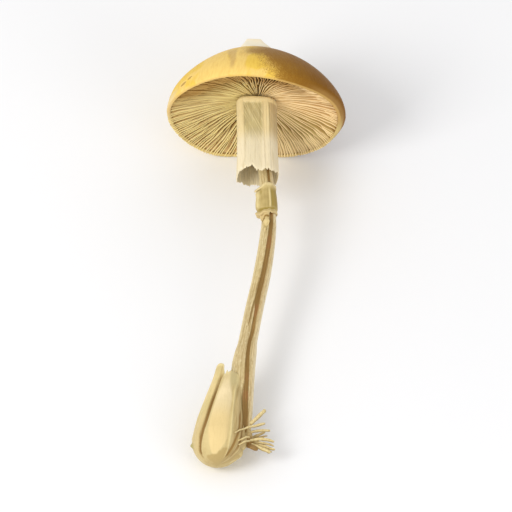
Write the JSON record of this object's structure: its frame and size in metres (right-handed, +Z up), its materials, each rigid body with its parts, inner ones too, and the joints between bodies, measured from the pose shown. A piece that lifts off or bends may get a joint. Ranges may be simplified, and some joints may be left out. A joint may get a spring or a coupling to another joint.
{
  "type": "gilled mushroom with ring and volva",
  "caption": "Picked gilled mushroom lying on its side: broad domed cap with a small knob, radial gills, hanging ring, torn cuff on the stem, sac-like volva and rootlets.",
  "frame": {"origin": "centre of the footprint of its bounding box, on the surface that the mushroom lies on", "axes": "+Y runs along the stem from the volva to the cap, +Z is up, +X completes the right hand"},
  "size_m": [0.0804, 0.2162, 0.076],
  "materials": {
    "cap_skin": "smooth, faintly greasy golden skin that turns brown to one side",
    "gill_tissue": "matt, olive tan with cream edges",
    "stem_fibre": "matt, finely fibrous straw",
    "ring_membrane": "matt, thin pleated cream membrane",
    "volva_membrane": "matt, felted cream membrane",
    "rootlet_fibre": "matt straw fibre"
  },
  "bodies": {
    "root": {"cap": "cap_skin", "gills": "gill_tissue", "stem": "stem_fibre", "skirt_ring": "ring_membrane", "ring_sleeve": "ring_membrane", "volva": "volva_membrane", "rootlet_1": "rootlet_fibre", "rootlet_2": "rootlet_fibre", "rootlet_3": "rootlet_fibre", "rootlet_4": "rootlet_fibre", "rootlet_5": "rootlet_fibre", "rootlet_6": "rootlet_fibre", "rootlet_7": "rootlet_fibre"}
  },
  "joints": []
}
